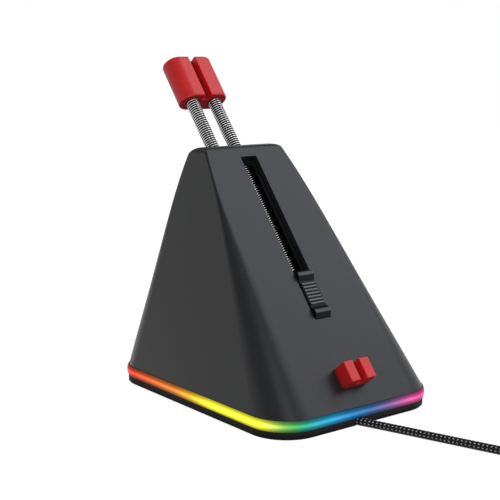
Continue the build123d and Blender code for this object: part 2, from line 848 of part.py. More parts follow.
tie_turn = radians(tie_angle)
tie_out = Vector(cos(tie_turn), sin(tie_turn), 0)
tie_middle = Vector(coil_x, coil_y, 0) + tie_out * (coil_outer + coil_inner) / 2
with BuildPart() as coil_tie:
    with BuildSketch(Plane(origin=tie_middle, x_dir=tie_out, z_dir=(0, 0, 1))):
        Rectangle(coil_outer - coil_inner + 4 * tie_thickness, tie_width)
    extrude(amount=coil_top + tie_thickness)
    with BuildSketch(Plane.XY.offset(tie_thickness - fit_gap)):
        with Locations((coil_x, coil_y)):
            Circle(coil_outer + fit_gap)
            Circle(coil_inner - fit_gap, mode=Mode.SUBTRACT)
    extrude(amount=coil_top - tie_thickness + 2 * fit_gap, mode=Mode.SUBTRACT)
finish_piece(coil_tie.part, "coil_tie")

exit_turn = radians(exit_angle)
exit_out = Vector(cos(exit_turn), sin(exit_turn), 0)
exit_along = Vector(-sin(exit_turn), cos(exit_turn), 0)
tail_start = Vector(coil_x, coil_y, coil_top - cable_diameter / 2) + exit_out * coil_outer_turn
plug_axis_z = plug_height / 2
plug_line = Vector(tail_start.X, tail_start.Y, plug_axis_z)
tail_route = [
    tail_start,
    tail_start + exit_along * tail_run + Vector(0, 0, -tail_dip),
    plug_line + exit_along * 2 * tail_run,
    plug_line + exit_along * 3 * tail_run,
]
finish_piece(cable_tube(tail_route), "cable_tail")

plug_plane = Plane(origin=tail_route[-1], x_dir=exit_out, z_dir=exit_along)
with BuildPart() as plug_grip:
    with BuildSketch(plug_plane):
        Circle(cable_diameter / 2 + plug_relief_wall)
    with BuildSketch(plug_plane.offset(plug_relief_length)):
        Circle(plug_relief_radius)
    loft()
    with BuildSketch(plug_plane.offset(plug_relief_length)):
        RectangleRounded(plug_width, plug_height, plug_round)
    extrude(amount=plug_length)
finish_piece(plug_grip.part, "plug_grip")

plug_shell_plane = plug_plane.offset(plug_relief_length + plug_length)
with BuildPart() as plug_shell:
    with BuildSketch(plug_shell_plane):
        Rectangle(plug_shell_width, plug_shell_height)
        Rectangle(
            plug_shell_width - 2 * plug_shell_wall,
            plug_shell_height - 2 * plug_shell_wall,
            mode=Mode.SUBTRACT,
        )
    extrude(amount=plug_shell_length)
finish_piece(plug_shell.part, "plug_shell")

tongue_offset = (plug_shell_height - plug_tongue_height) / 2 - plug_shell_wall - seat_gap
with BuildPart() as plug_tongue:
    with BuildSketch(plug_shell_plane):
        with Locations((0, tongue_offset)):
            Rectangle(plug_shell_width - 2 * plug_shell_wall - 2 * seat_gap, plug_tongue_height)
    extrude(amount=plug_shell_length - plug_shell_wall)
finish_piece(plug_tongue.part, "plug_tongue")
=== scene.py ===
import json
import math

import bpy
import numpy as np
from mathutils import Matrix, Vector


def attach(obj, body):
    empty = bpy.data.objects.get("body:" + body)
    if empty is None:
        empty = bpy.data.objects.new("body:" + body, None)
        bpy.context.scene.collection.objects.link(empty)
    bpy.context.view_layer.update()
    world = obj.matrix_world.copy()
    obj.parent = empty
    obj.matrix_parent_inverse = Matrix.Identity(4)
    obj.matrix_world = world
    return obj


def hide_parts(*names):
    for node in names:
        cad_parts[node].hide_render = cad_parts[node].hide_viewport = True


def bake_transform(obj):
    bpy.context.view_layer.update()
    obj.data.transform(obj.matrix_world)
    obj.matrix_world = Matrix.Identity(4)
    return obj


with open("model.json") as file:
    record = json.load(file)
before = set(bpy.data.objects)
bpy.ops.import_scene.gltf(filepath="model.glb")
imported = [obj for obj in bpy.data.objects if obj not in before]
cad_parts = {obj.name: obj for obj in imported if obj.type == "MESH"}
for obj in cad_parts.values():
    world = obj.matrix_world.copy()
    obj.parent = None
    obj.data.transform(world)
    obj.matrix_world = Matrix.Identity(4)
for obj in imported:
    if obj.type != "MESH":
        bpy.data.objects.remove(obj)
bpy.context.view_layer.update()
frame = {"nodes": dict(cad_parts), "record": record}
nodes = frame["nodes"]
scene = bpy.context.scene
FULL_TURN = 2 * math.pi

# Body, ring and button: sizes and places repeated from the part's source, in metres
FRONT_Y = -0.0681057
BASE_DEPTH = 0.1283
RIDGE_BACK, RIDGE_HEIGHT = 0.0850, 0.1146
FOOT_BACK, FOOT_HEIGHT = 0.00035, 0.0085
RIDGE = Vector((0.0, FRONT_Y + RIDGE_BACK, RIDGE_HEIGHT))
LEAN = math.atan2(RIDGE_BACK - FOOT_BACK, RIDGE_HEIGHT - FOOT_HEIGHT)
UP = Vector((0.0, math.sin(LEAN), math.cos(LEAN)))
INTO = Vector((0.0, math.cos(LEAN), -math.sin(LEAN)))
RING_LOW, RING_HIGH = 0.0036, 0.0085
RING_MIDDLE = Vector((0.0, FRONT_Y + BASE_DEPTH / 2, (RING_LOW + RING_HIGH) / 2))
BUTTON_MIDDLE, BUTTON_RISE = 0.0805, 0.0025
RIDGED_HALF, RIDGE_REACH = 0.0061, 0.0038

# Cable and plug
CABLE = 0.0035
CABLE_SIDES = 20
COIL_TURN = 0.028
COIL_POINTS = 16
LAYER_TURNS, RISE_TURNS = 4, 1
RISE_TUCK = 0.3
EXIT_TURN = math.radians(-115.0)
TIE = 0.0009
TAIL_RUN, TAIL_DIP = 0.006, 0.0003
PLUG_HEIGHT = 0.004
PLUG_RELIEF, PLUG_GRIP, PLUG_SHELL = 0.010, 0.024, 0.0185
LATCH_FROM_END, LATCH_SPREAD, LATCH_HALF = 0.0064, 0.00225, 0.0012
LATCH_EDGE = 0.0001
RELIEF_RING, RELIEF_RUN = 0.0022, 0.0094

# Springs of the arm
SPRING_X, SPRING_DEPTH = 0.0066, 0.0133
SPRING_FOOT, SPRING_LENGTH = -0.0804, 0.1238
WIRE, SPRING_RADIUS, SPRING_PITCH = 0.00082, 0.00322, 0.00118
WIRE_SIDES, WIRE_STEPS = 8, 20
# Dark core inside each spring: painted shade seen between the turns
SHADE_CORE_RADIUS, SHADE_CORE_RINGS, SHADE_CORE_SIDES = 0.00256, 80, 16

# Edges that the solids leave sharp, with the width of their rounding
SOFT_EDGES = {"coil_tie": 0.0004, "plug_grip": 0.0004, "lower_clip": 0.0003}
WELD_GAP = 0.000002
EDGE_SEGMENTS, EDGE_ANGLE = 3, math.radians(35.0)

# Part of a noise texture's range that its values mostly fill
NOISE_LOW, NOISE_HIGH = 0.3, 0.7

# Light ring: the colours along x minus y, how bright each stretch is, and the fall from the middle to the edges
RAINBOW_START, RAINBOW_END = -0.108, 0.115
RAINBOW = [
    (0.07, (0.82, 0.045, 0.022)),
    (0.15, (0.84, 0.125, 0.014)),
    (0.24, (0.80, 0.240, 0.014)),
    (0.30, (0.92, 0.430, 0.012)),
    (0.36, (0.97, 0.900, 0.022)),
    (0.52, (1.00, 0.960, 0.030)),
    (0.56, (0.570, 0.740, 0.085)),
    (0.59, (0.190, 0.580, 0.085)),
    (0.62, (0.060, 0.500, 0.140)),
    (0.64, (0.025, 0.475, 0.300)),
    (0.67, (0.010, 0.480, 0.620)),
    (0.71, (0.006, 0.430, 0.800)),
    (0.76, (0.006, 0.250, 0.620)),
    (0.81, (0.035, 0.170, 0.450)),
    (0.86, (0.220, 0.120, 0.370)),
    (0.92, (0.760, 0.085, 0.360)),
    (0.95, (0.850, 0.035, 0.300)),
]
RING_POWER = [(0.24, 0.62), (0.36, 0.95), (0.52, 0.95), (0.58, 0.60), (0.66, 0.50), (0.82, 0.50), (0.92, 0.62)]
RING_FALL = [(0.0, 1.0), (0.12, 1.0), (0.40, 0.58), (0.60, 0.42), (0.80, 0.27), (1.0, 0.16)]
RING_GAIN = 2.0
RING_LIFT = 0.00012
# Painted highlight: a pale line along the ring's middle, its level and how far out it falls off
PAINTED_HIGHLIGHT, PAINTED_HIGHLIGHT_FROM, PAINTED_HIGHLIGHT_TO = 0.04, 0.0003, 0.0011
RING_OUT_FROM, RING_OUT_TO = 0.002, 0.012

# Studio: floor, reflected sky by height, and the even light of the room
FLOOR_HALF = 6.0
FLOOR_COLOUR, FLOOR_GLOW = 0.32, 0.90
SKY = [(0.08, 0.80), (0.30, 0.96), (0.33, 0.96), (0.43, 0.22)]
AMBIENT, WHITE = 0.36, 1.0


# Camera at the photograph's viewing angle
CAMERA_PLACE = (-0.3192, FRONT_Y - 0.3313, 0.1546)
CAMERA_TILT, CAMERA_TURN = math.radians(80.27), -0.66
camera_data = bpy.data.cameras.new("camera")
camera = bpy.data.objects.new("camera", camera_data)
scene.collection.objects.link(camera)
camera_data.lens = 79.79
camera_data.sensor_width = 36.0
camera_data.clip_start = 0.01
camera.location = CAMERA_PLACE
camera.rotation_euler = (CAMERA_TILT, 0.0, CAMERA_TURN)
scene.camera = camera
scene.view_settings.view_transform = "Standard"


# Mesh helpers
def mesh_piece(name, verts, faces, finish):
    """A smooth-shaded piece with one finish."""
    mesh = bpy.data.meshes.new(name)
    mesh.from_pydata([tuple(v) for v in verts], [], faces)
    mesh.materials.append(finish)
    mesh.update()
    mesh.polygons.foreach_set("use_smooth", [True] * len(mesh.polygons))
    piece = bpy.data.objects.new(name, mesh)
    scene.collection.objects.link(piece)
    return piece


def tube_shape(path, radius, sides, outward=None):
    """Points and faces of a closed tube along a path, with its length and its turn as UV."""
    path = np.asarray(path, float)
    tangents = np.gradient(path, axis=0)
    tangents /= np.linalg.norm(tangents, axis=1)[:, None]
    normal = np.cross(tangents[0], (0.0, 0.0, 1.0))
    normal /= np.linalg.norm(normal)
    verts = []
    angles = np.arange(sides) * FULL_TURN / sides
    for index, (point, tangent) in enumerate(zip(path, tangents)):
        if outward is not None:
            normal = outward[index]
        normal = normal - tangent * (normal @ tangent)
        normal /= np.linalg.norm(normal)
        other = np.cross(tangent, normal)
        verts.extend(point + radius * (np.cos(angles)[:, None] * normal + np.sin(angles)[:, None] * other))
    run = np.concatenate([[0.0], np.cumsum(np.linalg.norm(np.diff(path, axis=0), axis=1))])
    faces, values = [], []
    for i in range(len(path) - 1):
        for j in range(sides):
            k = (j + 1) % sides
            faces.append((i * sides + j, i * sides + k, (i + 1) * sides + k, (i + 1) * sides + j))
            here, there = j / sides, (j + 1) / sides
            values += [(run[i], here), (run[i], there), (run[i + 1], there), (run[i + 1], here)]
    last = (len(path) - 1) * sides
    faces.append(tuple(range(sides - 1, -1, -1)))
    faces.append(tuple(last + j for j in range(sides)))
    values += [(0.0, 0.0)] * (2 * sides)
    return verts, faces, np.array(values, np.float32)


def tubes(name, shapes, finish):
    """One piece made of closed tubes."""
    verts, faces, values = [], [], []
    for shape_verts, shape_faces, shape_values in shapes:
        faces.extend(tuple(len(verts) + corner for corner in face) for face in shape_faces)
        verts.extend(shape_verts)
        values.append(shape_values)
    piece = mesh_piece(name, verts, faces, finish)
    layer = piece.data.uv_layers.new(name="along_round")
    layer.data.foreach_set("uv", np.concatenate(values).ravel())
    return piece


def smooth_line(points, resolution):
    """Points read from a NURBS spline that has these points as its control points."""
    data = bpy.data.curves.new("route", "CURVE")
    data.dimensions = "3D"
    spline = data.splines.new("NURBS")
    spline.points.add(len(points) - 1)
    for control, point in zip(spline.points, points):
        control.co = (*point, 1.0)
    spline.order_u = 3
    spline.use_endpoint_u = True
    spline.resolution_u = resolution
    curve = bpy.data.objects.new("route", data)
    scene.collection.objects.link(curve)
    bpy.context.view_layer.update()
    mesh = bpy.data.meshes.new_from_object(curve.evaluated_get(bpy.context.evaluated_depsgraph_get()))
    line = [v.co.copy() for v in mesh.vertices]
    bpy.data.meshes.remove(mesh)
    bpy.data.objects.remove(curve)
    bpy.data.curves.remove(data)
    return line


# Cable route: the lead's points as x, distance out from the front and height, in millimetres
lead = [
    (-4.4, -34.0, 6.2),
    (-4.4, -25.0, 6.2),
    (-4.4, -15.0, 1.75),
    (-4.4, -6.5, 1.75),
    (1.5, 11.0, 1.75),
    (9.3, 36.0, 1.75),
    (16.2, 60.0, 2.0),
    (21.4, 81.0, 2.65),
]
route = [Vector((x / 1000, FRONT_Y - out / 1000, z / 1000)) for x, out, z in lead]

# Then the coil, inwards on the desk and outwards on top, and the tail to the plug
lead_end = route[-1]
lead_along = (lead_end - route[-2]).normalized()
coil_middle = Vector((lead_end.x - lead_along.y * COIL_TURN, lead_end.y + lead_along.x * COIL_TURN, 0.0))
start_turn = math.atan2(lead_end.y - coil_middle.y, lead_end.x - coil_middle.x)
low_z, high_z = TIE + CABLE / 2, TIE + CABLE * 1.5
inner = COIL_TURN - LAYER_TURNS * CABLE
extra = ((EXIT_TURN - start_turn) / FULL_TURN) % 1.0
coil_turns = 2 * LAYER_TURNS + RISE_TURNS + extra
# The spline cuts inside its control points, so on a turn they stand out by this factor
swell = 1.0 / (0.75 + 0.25 * math.cos(FULL_TURN / COIL_POINTS))
steps = round(coil_turns * COIL_POINTS)
for step in range(1, steps):
    turns = coil_turns * step / steps
    rise = turns - LAYER_TURNS
    if rise <= 0:
        radius, height = COIL_TURN - CABLE * turns, low_z
    elif rise <= RISE_TURNS:
        radius = inner - RISE_TUCK * CABLE * math.sin(math.pi * rise)
        height = low_z + (high_z - low_z) * rise
    else:
        radius = inner + (COIL_TURN - inner) * (rise - RISE_TURNS) / (LAYER_TURNS + extra)
        height = high_z
    angle = start_turn + FULL_TURN * turns
    radius *= swell
    route.append(coil_middle + Vector((radius * math.cos(angle), radius * math.sin(angle), height)))
exit_out = Vector((math.cos(EXIT_TURN), math.sin(EXIT_TURN), 0.0))
exit_along = Vector((-math.sin(EXIT_TURN), math.cos(EXIT_TURN), 0.0))
tail_start = coil_middle + exit_out * COIL_TURN + Vector((0.0, 0.0, high_z))
plug_line = Vector((tail_start.x, tail_start.y, PLUG_HEIGHT))
plug_start = plug_line + exit_along * 3 * TAIL_RUN
latches = plug_start + exit_along * (PLUG_RELIEF + PLUG_GRIP + PLUG_SHELL - LATCH_FROM_END)
route.append(tail_start)
route.append(tail_start + exit_along * TAIL_RUN - Vector((0.0, 0.0, TAIL_DIP)))
route.append(plug_line + exit_along * 2 * TAIL_RUN)
route.append(plug_start)
cable_line = smooth_line(route, resolution=6)


# Node helpers
def material(name):
    """A new material, with its node tree and its shader."""
    made = bpy.data.materials.new(name)
    made.use_nodes = True
    tree = made.node_tree
    return made, tree, tree.nodes["Principled BSDF"]


def reopened(made):
    """The node tree and shader of a material made earlier, and what feeds its colour."""
    tree = made.node_tree
    shader = tree.nodes["Principled BSDF"]
    return tree, shader, shader.inputs["Base Color"].links[0].from_socket


def add(tree, kind, **values):
    """A new node with some of its inputs or settings given."""
    node = tree.nodes.new(kind)
    for key, value in values.items():
        if key in node.inputs:
            node.inputs[key].default_value = value
        else:
            setattr(node, key, value)
    return node


def feed(tree, socket, value):
    """Gives a socket another node's output, or a value of its own."""
    if isinstance(value, bpy.types.NodeSocket):
        tree.links.new(value, socket)
    else:
        socket.default_value = value


def coordinate(tree, kind="Object"):
    """Each point's place in the shared frame, or another of its coordinates."""
    return add(tree, "ShaderNodeTexCoord").outputs[kind]


def split(tree, vector):
    """The X, Y and Z of a vector."""
    node = add(tree, "ShaderNodeSeparateXYZ")
    tree.links.new(vector, node.inputs["Vector"])
    return node.outputs


def along_round(tree):
    """A tube's own coordinates: X is metres along it, Y the share of a turn round it."""
    return split(tree, add(tree, "ShaderNodeUVMap", uv_map="along_round").outputs["UV"])


def noise(tree, place, scale, detail):
    """A noise value at each place."""
    node = add(tree, "ShaderNodeTexNoise", Scale=scale, Detail=detail)
    tree.links.new(place, node.inputs["Vector"])
    return node.outputs["Fac"]


def math_node(tree, operation, a, b=None, clamp=False):
    """A sum on one or two numbers."""
    node = add(tree, "ShaderNodeMath", operation=operation, use_clamp=clamp)
    feed(tree, node.inputs[0], a)
    if b is not None:
        feed(tree, node.inputs[1], b)
    return node.outputs[0]


def vector_node(tree, operation, a, b):
    """A sum on two vectors, or on a vector and the number that scales it."""
    node = add(tree, "ShaderNodeVectorMath", operation=operation)
    feed(tree, node.inputs[0], a)
    feed(tree, node.inputs["Scale"] if operation == "SCALE" else node.inputs[1], b)
    return node.outputs["Value" if operation == "DOT_PRODUCT" else "Vector"]


def mixed(tree, factor, a, b, kind="RGBA"):
    """From a to b as the factor goes from 0 to 1."""
    node = add(tree, "ShaderNodeMix", data_type=kind)
    for key, value in (("Factor", factor), ("A", a), ("B", b)):
        feed(tree, node.inputs[key], value)
    return node.outputs["Result"]


def grey(value):
    """A colour with no hue."""
    return value, value, value


def ramp(tree, factor, stops):
    """Colours that follow a factor, from stops of position and colour."""
    node = add(tree, "ShaderNodeValToRGB")
    elements = node.color_ramp.elements
    while len(elements) < len(stops):
        elements.new(0.5)
    for element, (position, colour) in zip(elements, stops):
        element.position = position
        element.color = (*colour, 1.0)
    tree.links.new(factor, node.inputs["Fac"])
    return node.outputs["Color"]


def grey_ramp(tree, factor, stops):
    """Levels that follow a factor, from stops of position and level."""
    return ramp(tree, factor, [(position, grey(value)) for position, value in stops])


def map_range(tree, value, low, high, to_low, to_high, smooth=False):
    """A value taken from one range to another, and held at its ends."""
    node = add(tree, "ShaderNodeMapRange", interpolation_type="SMOOTHSTEP" if smooth else "LINEAR")
    for key, number in (("From Min", low), ("From Max", high), ("To Min", to_low), ("To Max", to_high)):
        node.inputs[key].default_value = number
    tree.links.new(value, node.inputs["Value"])
    return node.outputs["Result"]


def noise_range(tree, value, to_low, to_high):
    """A noise value taken to another range."""
    return map_range(tree, value, NOISE_LOW, NOISE_HIGH, to_low, to_high)


def bump(tree, shader, height, strength, distance):
    """Fine relief in a shader's surface."""
    node = add(tree, "ShaderNodeBump", Strength=strength, Distance=distance)
    tree.links.new(height, node.inputs["Height"])
    tree.links.new(node.outputs["Normal"], shader.inputs["Normal"])


def run_from(tree, origin, direction):
    """How far a point lies from an origin in one direction."""
    from_origin = vector_node(tree, "SUBTRACT", coordinate(tree), origin)
    return vector_node(tree, "DOT_PRODUCT", from_origin, direction)


# Materials
def moulded(name, colour, rough, spread=0.12, grain=1800.0, depth=0.00002, patch=45.0, rough_spread=0.06,
            specular=0.5):
    """Moulded plastic: a faint drift of colour and gloss, and a fine spark-eroded grain."""
    made, tree, shader = material(name)
    place = coordinate(tree)
    drift = noise(tree, place, scale=patch, detail=3.0)
    fine = noise(tree, place, scale=grain, detail=2.0)
    dark = [c * (1 - spread) for c in colour]
    light = [c * (1 + spread) for c in colour]
    feed(tree, shader.inputs["Base Color"], ramp(tree, drift, [(NOISE_LOW, dark), (NOISE_HIGH, light)]))
    feed(tree, shader.inputs["Roughness"], noise_range(tree, fine, rough - rough_spread, rough + rough_spread))
    shader.inputs["Specular IOR Level"].default_value = specular
    bump(tree, shader, fine, strength=0.35, distance=depth)
    return made


def metal(name, colour, rough, stretch=(1.0, 1.0, 1.0), grain=900.0):
    """Plain metal with fine drawn or ground lines."""
    darkest, smoothest, roughest = 0.85, 0.7, 1.35
    made, tree, shader = material(name)
    turn = add(tree, "ShaderNodeMapping", Scale=stretch)
    feed(tree, turn.inputs["Vector"], coordinate(tree))
    lines = noise(tree, turn.outputs["Vector"], scale=grain, detail=4.0)
    dark = [c * darkest for c in colour]
    feed(tree, shader.inputs["Base Color"], ramp(tree, lines, [(NOISE_LOW, dark), (NOISE_HIGH, colour)]))
    gloss = map_range(tree, lines, 0.25, 0.75, rough * smoothest, rough * roughest)
    feed(tree, shader.inputs["Roughness"], gloss)
    shader.inputs["Metallic"].default_value = 1.0
    bump(tree, shader, lines, strength=0.3, distance=0.00001)
    return made


def wound_wire_material():
    """Drawn steel wire in a close coil: its own bright colour where it faces out, with painted shade where it
    faces the next turn.
    """
    painted_gap_shade, side, crest = grey(0.004), (0.10, 0.10, 0.104), (0.74, 0.74, 0.75)
    uneven = 0.03
    made, tree, shader = material("spring_wire")
    # Painted shade: the colour darkens from the wire's outer crest towards its sides, which face the next turns
    outward = math_node(tree, "COSINE", math_node(tree, "MULTIPLY", along_round(tree)["Y"], FULL_TURN))
    lines = noise(tree, coordinate(tree), scale=2500.0, detail=3.0)
    painted_light = math_node(tree, "ADD", outward, math_node(tree, "MULTIPLY", lines, uneven))
    feed(tree, shader.inputs["Base Color"], ramp(tree, painted_light, [(0.46, painted_gap_shade), (0.76, side), (0.96, crest)]))
    feed(tree, shader.inputs["Roughness"], noise_range(tree, lines, 0.26, 0.32))
    shader.inputs["Metallic"].default_value = 1.0
    return made


def light_ring_material():
    """Milky diffuser lit from behind: the colour runs along the outline, bright in the middle, with a painted
    highlight as a pale line along the middle.
    """
    made, tree, shader = material("lit_diffuser")
    place = coordinate(tree)
    parts = split(tree, place)
    along = math_node(tree, "SUBTRACT", parts["X"], parts["Y"])
    share = map_range(tree, along, RAINBOW_START, RAINBOW_END, 0.0, 1.0)
    middle = (RING_LOW + RING_HIGH) / 2 + RING_LIFT
    off = math_node(tree, "ABSOLUTE", math_node(tree, "SUBTRACT", parts["Z"], middle))
    across = map_range(tree, off, 0.0, (RING_HIGH - RING_LOW) / 2, 0.0, 1.0)
    level = math_node(tree, "MULTIPLY", grey_ramp(tree, across, RING_FALL), grey_ramp(tree, share, RING_POWER))
    lit = vector_node(tree, "SCALE", ramp(tree, share, RAINBOW), math_node(tree, "MULTIPLY", level, RING_GAIN))
    # Painted highlight: a pale line added to the glow along the middle of the bead
    line = map_range(tree, off, PAINTED_HIGHLIGHT_FROM, PAINTED_HIGHLIGHT_TO, PAINTED_HIGHLIGHT, 0.0, smooth=True)
    pale = vector_node(tree, "ADD", lit, line)
    # Only the outside glows: there the surface faces away from the middle of the base
    from_middle = vector_node(tree, "SUBTRACT", place, RING_MIDDLE)
    facing = vector_node(tree, "DOT_PRODUCT", from_middle, coordinate(tree, "Normal"))
    outside = map_range(tree, facing, RING_OUT_FROM, RING_OUT_TO, 0.0, 1.0)
    feed(tree, shader.inputs["Emission Color"], vector_node(tree, "SCALE", pale, outside))
    shader.inputs["Emission Strength"].default_value = 1.0
    grain = noise(tree, place, scale=700.0, detail=2.0)
    body = grey_ramp(tree, grain, [(NOISE_LOW, 0.005), (NOISE_HIGH, 0.009)])
    feed(tree, shader.inputs["Base Color"], body)
    shader.inputs["Roughness"].default_value = 0.4
    shader.inputs["Specular IOR Level"].default_value = 0.04
    return made


def braid_material():
    """Braided sleeve: strands cross both ways round the cable, with pale flecks in rows."""
    strand_pitch, strands = 0.0037, 4.0
    sharpness, fleck_from, fleck_to = 4.0, 0.30, 0.62
    made, tree, shader = material("cable_braid")
    parts = along_round(tree)
    along = math_node(tree, "MULTIPLY", parts["X"], 1.0 / strand_pitch)
    around = math_node(tree, "MULTIPLY", parts["Y"], strands)
    one, two = (
        math_node(tree, "SINE", math_node(tree, "MULTIPLY", math_node(tree, way, along, around), FULL_TURN))
        for way in ("ADD", "SUBTRACT")
    )
    slants = []
    for sign, thin, long in ((1.0, one, two), (-1.0, two, one)):
        sharp = math_node(tree, "POWER", math_node(tree, "MULTIPLY", thin, sign, clamp=True), sharpness)
        slants.append(math_node(tree, "MULTIPLY", sharp, math_node(tree, "MULTIPLY", long, sign, clamp=True)))
    either = math_node(tree, "MAXIMUM", *slants)
    fleck = map_range(tree, either, fleck_from, fleck_to, 0.0, 1.0, smooth=True)
    speck = noise(tree, coordinate(tree), scale=2600.0, detail=2.0)
    dull = ramp(tree, speck, [(0.35, grey(0.005)), (0.7, (0.014, 0.014, 0.015))])
    bright = ramp(tree, speck, [(0.3, (0.34, 0.34, 0.35)), (0.7, (0.80, 0.80, 0.82))])
    feed(tree, shader.inputs["Base Color"], mixed(tree, fleck, dull, bright))
    shader.inputs["Roughness"].default_value = 0.7
    shader.inputs["Specular IOR Level"].default_value = 0.2
    shader.inputs["Sheen Weight"].default_value = 0.04
    shader.inputs["Sheen Roughness"].default_value = 0.4
    bump(tree, shader, math_node(tree, "MAXIMUM", one, two), strength=0.8, distance=0.00012)
    return made


def strap_material():
    """Woven hook and loop strap."""
    made, tree, shader = material("strap_weave")
    weave = add(tree, "ShaderNodeTexVoronoi", Scale=1900.0)
    feed(tree, weave.inputs["Vector"], coordinate(tree))
    strand = weave.outputs["Distance"]
    tint = ramp(tree, strand, [(0.1, (0.045, 0.045, 0.05)), (0.7, (0.012, 0.012, 0.014))])
    feed(tree, shader.inputs["Base Color"], tint)
    shader.inputs["Roughness"].default_value = 0.85
    shader.inputs["Sheen Weight"].default_value = 0.3
    bump(tree, shader, strand, strength=0.6, distance=0.0001)
    return made


def plug_shell_material(origin, along, across):
    """Pressed steel, with painted shade in dark squares where the two square latch holes of a common plug would
    be.
    """
    made = metal("plug_metal", (0.66, 0.65, 0.62), 0.22, stretch=(1.0, 0.2, 1.0))
    tree, shader, tint = reopened(made)
    off_along = math_node(tree, "ABSOLUTE", run_from(tree, origin, along))
    off_middle = math_node(tree, "ABSOLUTE", run_from(tree, origin, across))
    off_across = math_node(tree, "ABSOLUTE", math_node(tree, "SUBTRACT", off_middle, LATCH_SPREAD))
    off = math_node(tree, "MAXIMUM", off_along, off_across)
    # Painted shade: dark squares stand in for the latch holes
    painted_latch_shade = map_range(tree, off, LATCH_HALF - LATCH_EDGE, LATCH_HALF, 1.0, 0.0)
    feed(tree, shader.inputs["Base Color"], mixed(tree, painted_latch_shade, tint, (*grey(0.006), 1.0)))
    return made


def plug_grip_material(origin, along):
    """Moulded grip, with painted shade in rings round its strain relief, where grooves would be."""
    groove_from, groove_to = -0.55, -0.25
    made = moulded("plug_plastic", (0.018, 0.018, 0.019), 0.45, grain=2400.0)
    tree, shader, tint = reopened(made)
    run = run_from(tree, origin, along)
    wave = math_node(tree, "SINE", math_node(tree, "MULTIPLY", run, FULL_TURN / RELIEF_RING))
    # Painted shade: dark rings stand in for grooves round the strain relief
    painted_groove_shade = map_range(tree, wave, groove_from, groove_to, 1.0, 0.0, smooth=True)
    painted_groove_rings = math_node(tree, "MULTIPLY", painted_groove_shade, math_node(tree, "LESS_THAN", run, RELIEF_RUN))
    feed(tree, shader.inputs["Base Color"], mixed(tree, painted_groove_rings, tint, (*grey(0.002), 1.0)))
    return made


def rubber_material():
    """Dull rubber with fine pores."""
    made, tree, shader = material("foot_rubber")
    pores = noise(tree, coordinate(tree), scale=1500.0, detail=5.0)
    feed(tree, shader.inputs["Base Color"], grey_ramp(tree, pores, [(0.3, 0.012), (0.75, 0.04)]))
    shader.inputs["Roughness"].default_value = 0.82
    bump(tree, shader, pores, strength=0.5, distance=0.00006)
    return made


def base_material():
    """Dark plastic, with painted contact shade that makes it blacker towards the desk."""
    black_below, plain_above, darkest_painted_shade = 0.0006, 0.0030, 0.15
    made = moulded("base_plastic", (0.017, 0.017, 0.0175), 0.6, specular=0.08)
    tree, shader, tint = reopened(made)
    # Painted shade: the colour darkens near the desk, standing in for the contact shadow
    height = split(tree, coordinate(tree))["Z"]
    painted_desk_shade = map_range(tree, height, black_below, plain_above, darkest_painted_shade, 1.0, smooth=True)
    feed(tree, shader.inputs["Base Color"], vector_node(tree, "SCALE", tint, painted_desk_shade))
    return made


def button_material():
    """Dark plastic, with painted highlights: paler on the tops of its ridges and ends."""
    dark, painted_end_highlight, painted_light = (0.005, 0.005, 0.0055), (0.100, 0.102, 0.107), (0.170, 0.173, 0.180)
    uneven = 0.00005
    made, tree, shader = material("button_plastic")
    place = coordinate(tree)
    height = math_node(tree, "SUBTRACT", RIDGE.dot(INTO), vector_node(tree, "DOT_PRODUCT", place, INTO))
    fine = noise(tree, place, scale=1500.0, detail=3.0)
    above = math_node(tree, "ADD", height, noise_range(tree, fine, -uneven, uneven))
    share = map_range(tree, above, 0.0, BUTTON_RISE, 0.0, 1.0)
    # Painted highlights: the tops of the end crests and of the ridges get a paler colour
    ends = ramp(tree, share, [(0.80, dark), (0.88, painted_end_highlight)])
    ridges = ramp(tree, share, [(0.30, dark), (0.37, painted_light)])
    off_side = math_node(tree, "ABSOLUTE", split(tree, place)["X"])
    on_ridges = math_node(tree, "LESS_THAN", off_side, RIDGE_REACH)
    ridges_lit = mixed(tree, on_ridges, (*dark, 1.0), ridges)
    run = vector_node(tree, "DOT_PRODUCT", place, UP)
    off = math_node(tree, "ABSOLUTE", math_node(tree, "SUBTRACT", run, RIDGE.dot(UP) - BUTTON_MIDDLE))
    in_middle = math_node(tree, "LESS_THAN", off, RIDGED_HALF)
    feed(tree, shader.inputs["Base Color"], mixed(tree, in_middle, ends, ridges_lit))
    feed(tree, shader.inputs["Roughness"], noise_range(tree, fine, 0.42, 0.54))
    shader.inputs["Specular IOR Level"].default_value = 0.14
    bump(tree, shader, fine, strength=0.3, distance=0.00002)
    return made


def red_material():
    """Red plastic, with painted shade: darker in its slots and corners and on faces turned down, which are also
    duller.
    """
    corner_size, closed_in, open_air, corner_shade = 0.004, 0.35, 0.85, 0.40
    faces_down, faces_out, under_shade, under_dull = -0.55, -0.15, 0.62, 0.5
    made = moulded("red_plastic", (0.70, 0.016, 0.019), 0.42, spread=0.05, depth=0.000008, rough_spread=0.03,
                   specular=0.41)
    tree, shader, tint = reopened(made)
    gloss = shader.inputs["Roughness"].links[0].from_socket
    # Painted shade: ambient occlusion darkens the colour in slots and corners
    openness = add(tree, "ShaderNodeAmbientOcclusion", Distance=corner_size, samples=8).outputs["AO"]
    painted_corner_shade = map_range(tree, openness, closed_in, open_air, corner_shade, 1.0)
    # Painted shade: faces turned down get a darker colour, and a rougher surface
    facing_up = split(tree, coordinate(tree, "Normal"))["Z"]
    under = map_range(tree, facing_up, faces_down, faces_out, 1.0, 0.0, smooth=True)
    painted_under_shade = map_range(tree, under, 0.0, 1.0, 1.0, under_shade)
    shade = math_node(tree, "MULTIPLY", painted_corner_shade, painted_under_shade)
    feed(tree, shader.inputs["Base Color"], vector_node(tree, "SCALE", tint, shade))
    dull = math_node(tree, "ADD", gloss, math_node(tree, "MULTIPLY", under, under_dull))
    feed(tree, shader.inputs["Roughness"], dull)
    return made


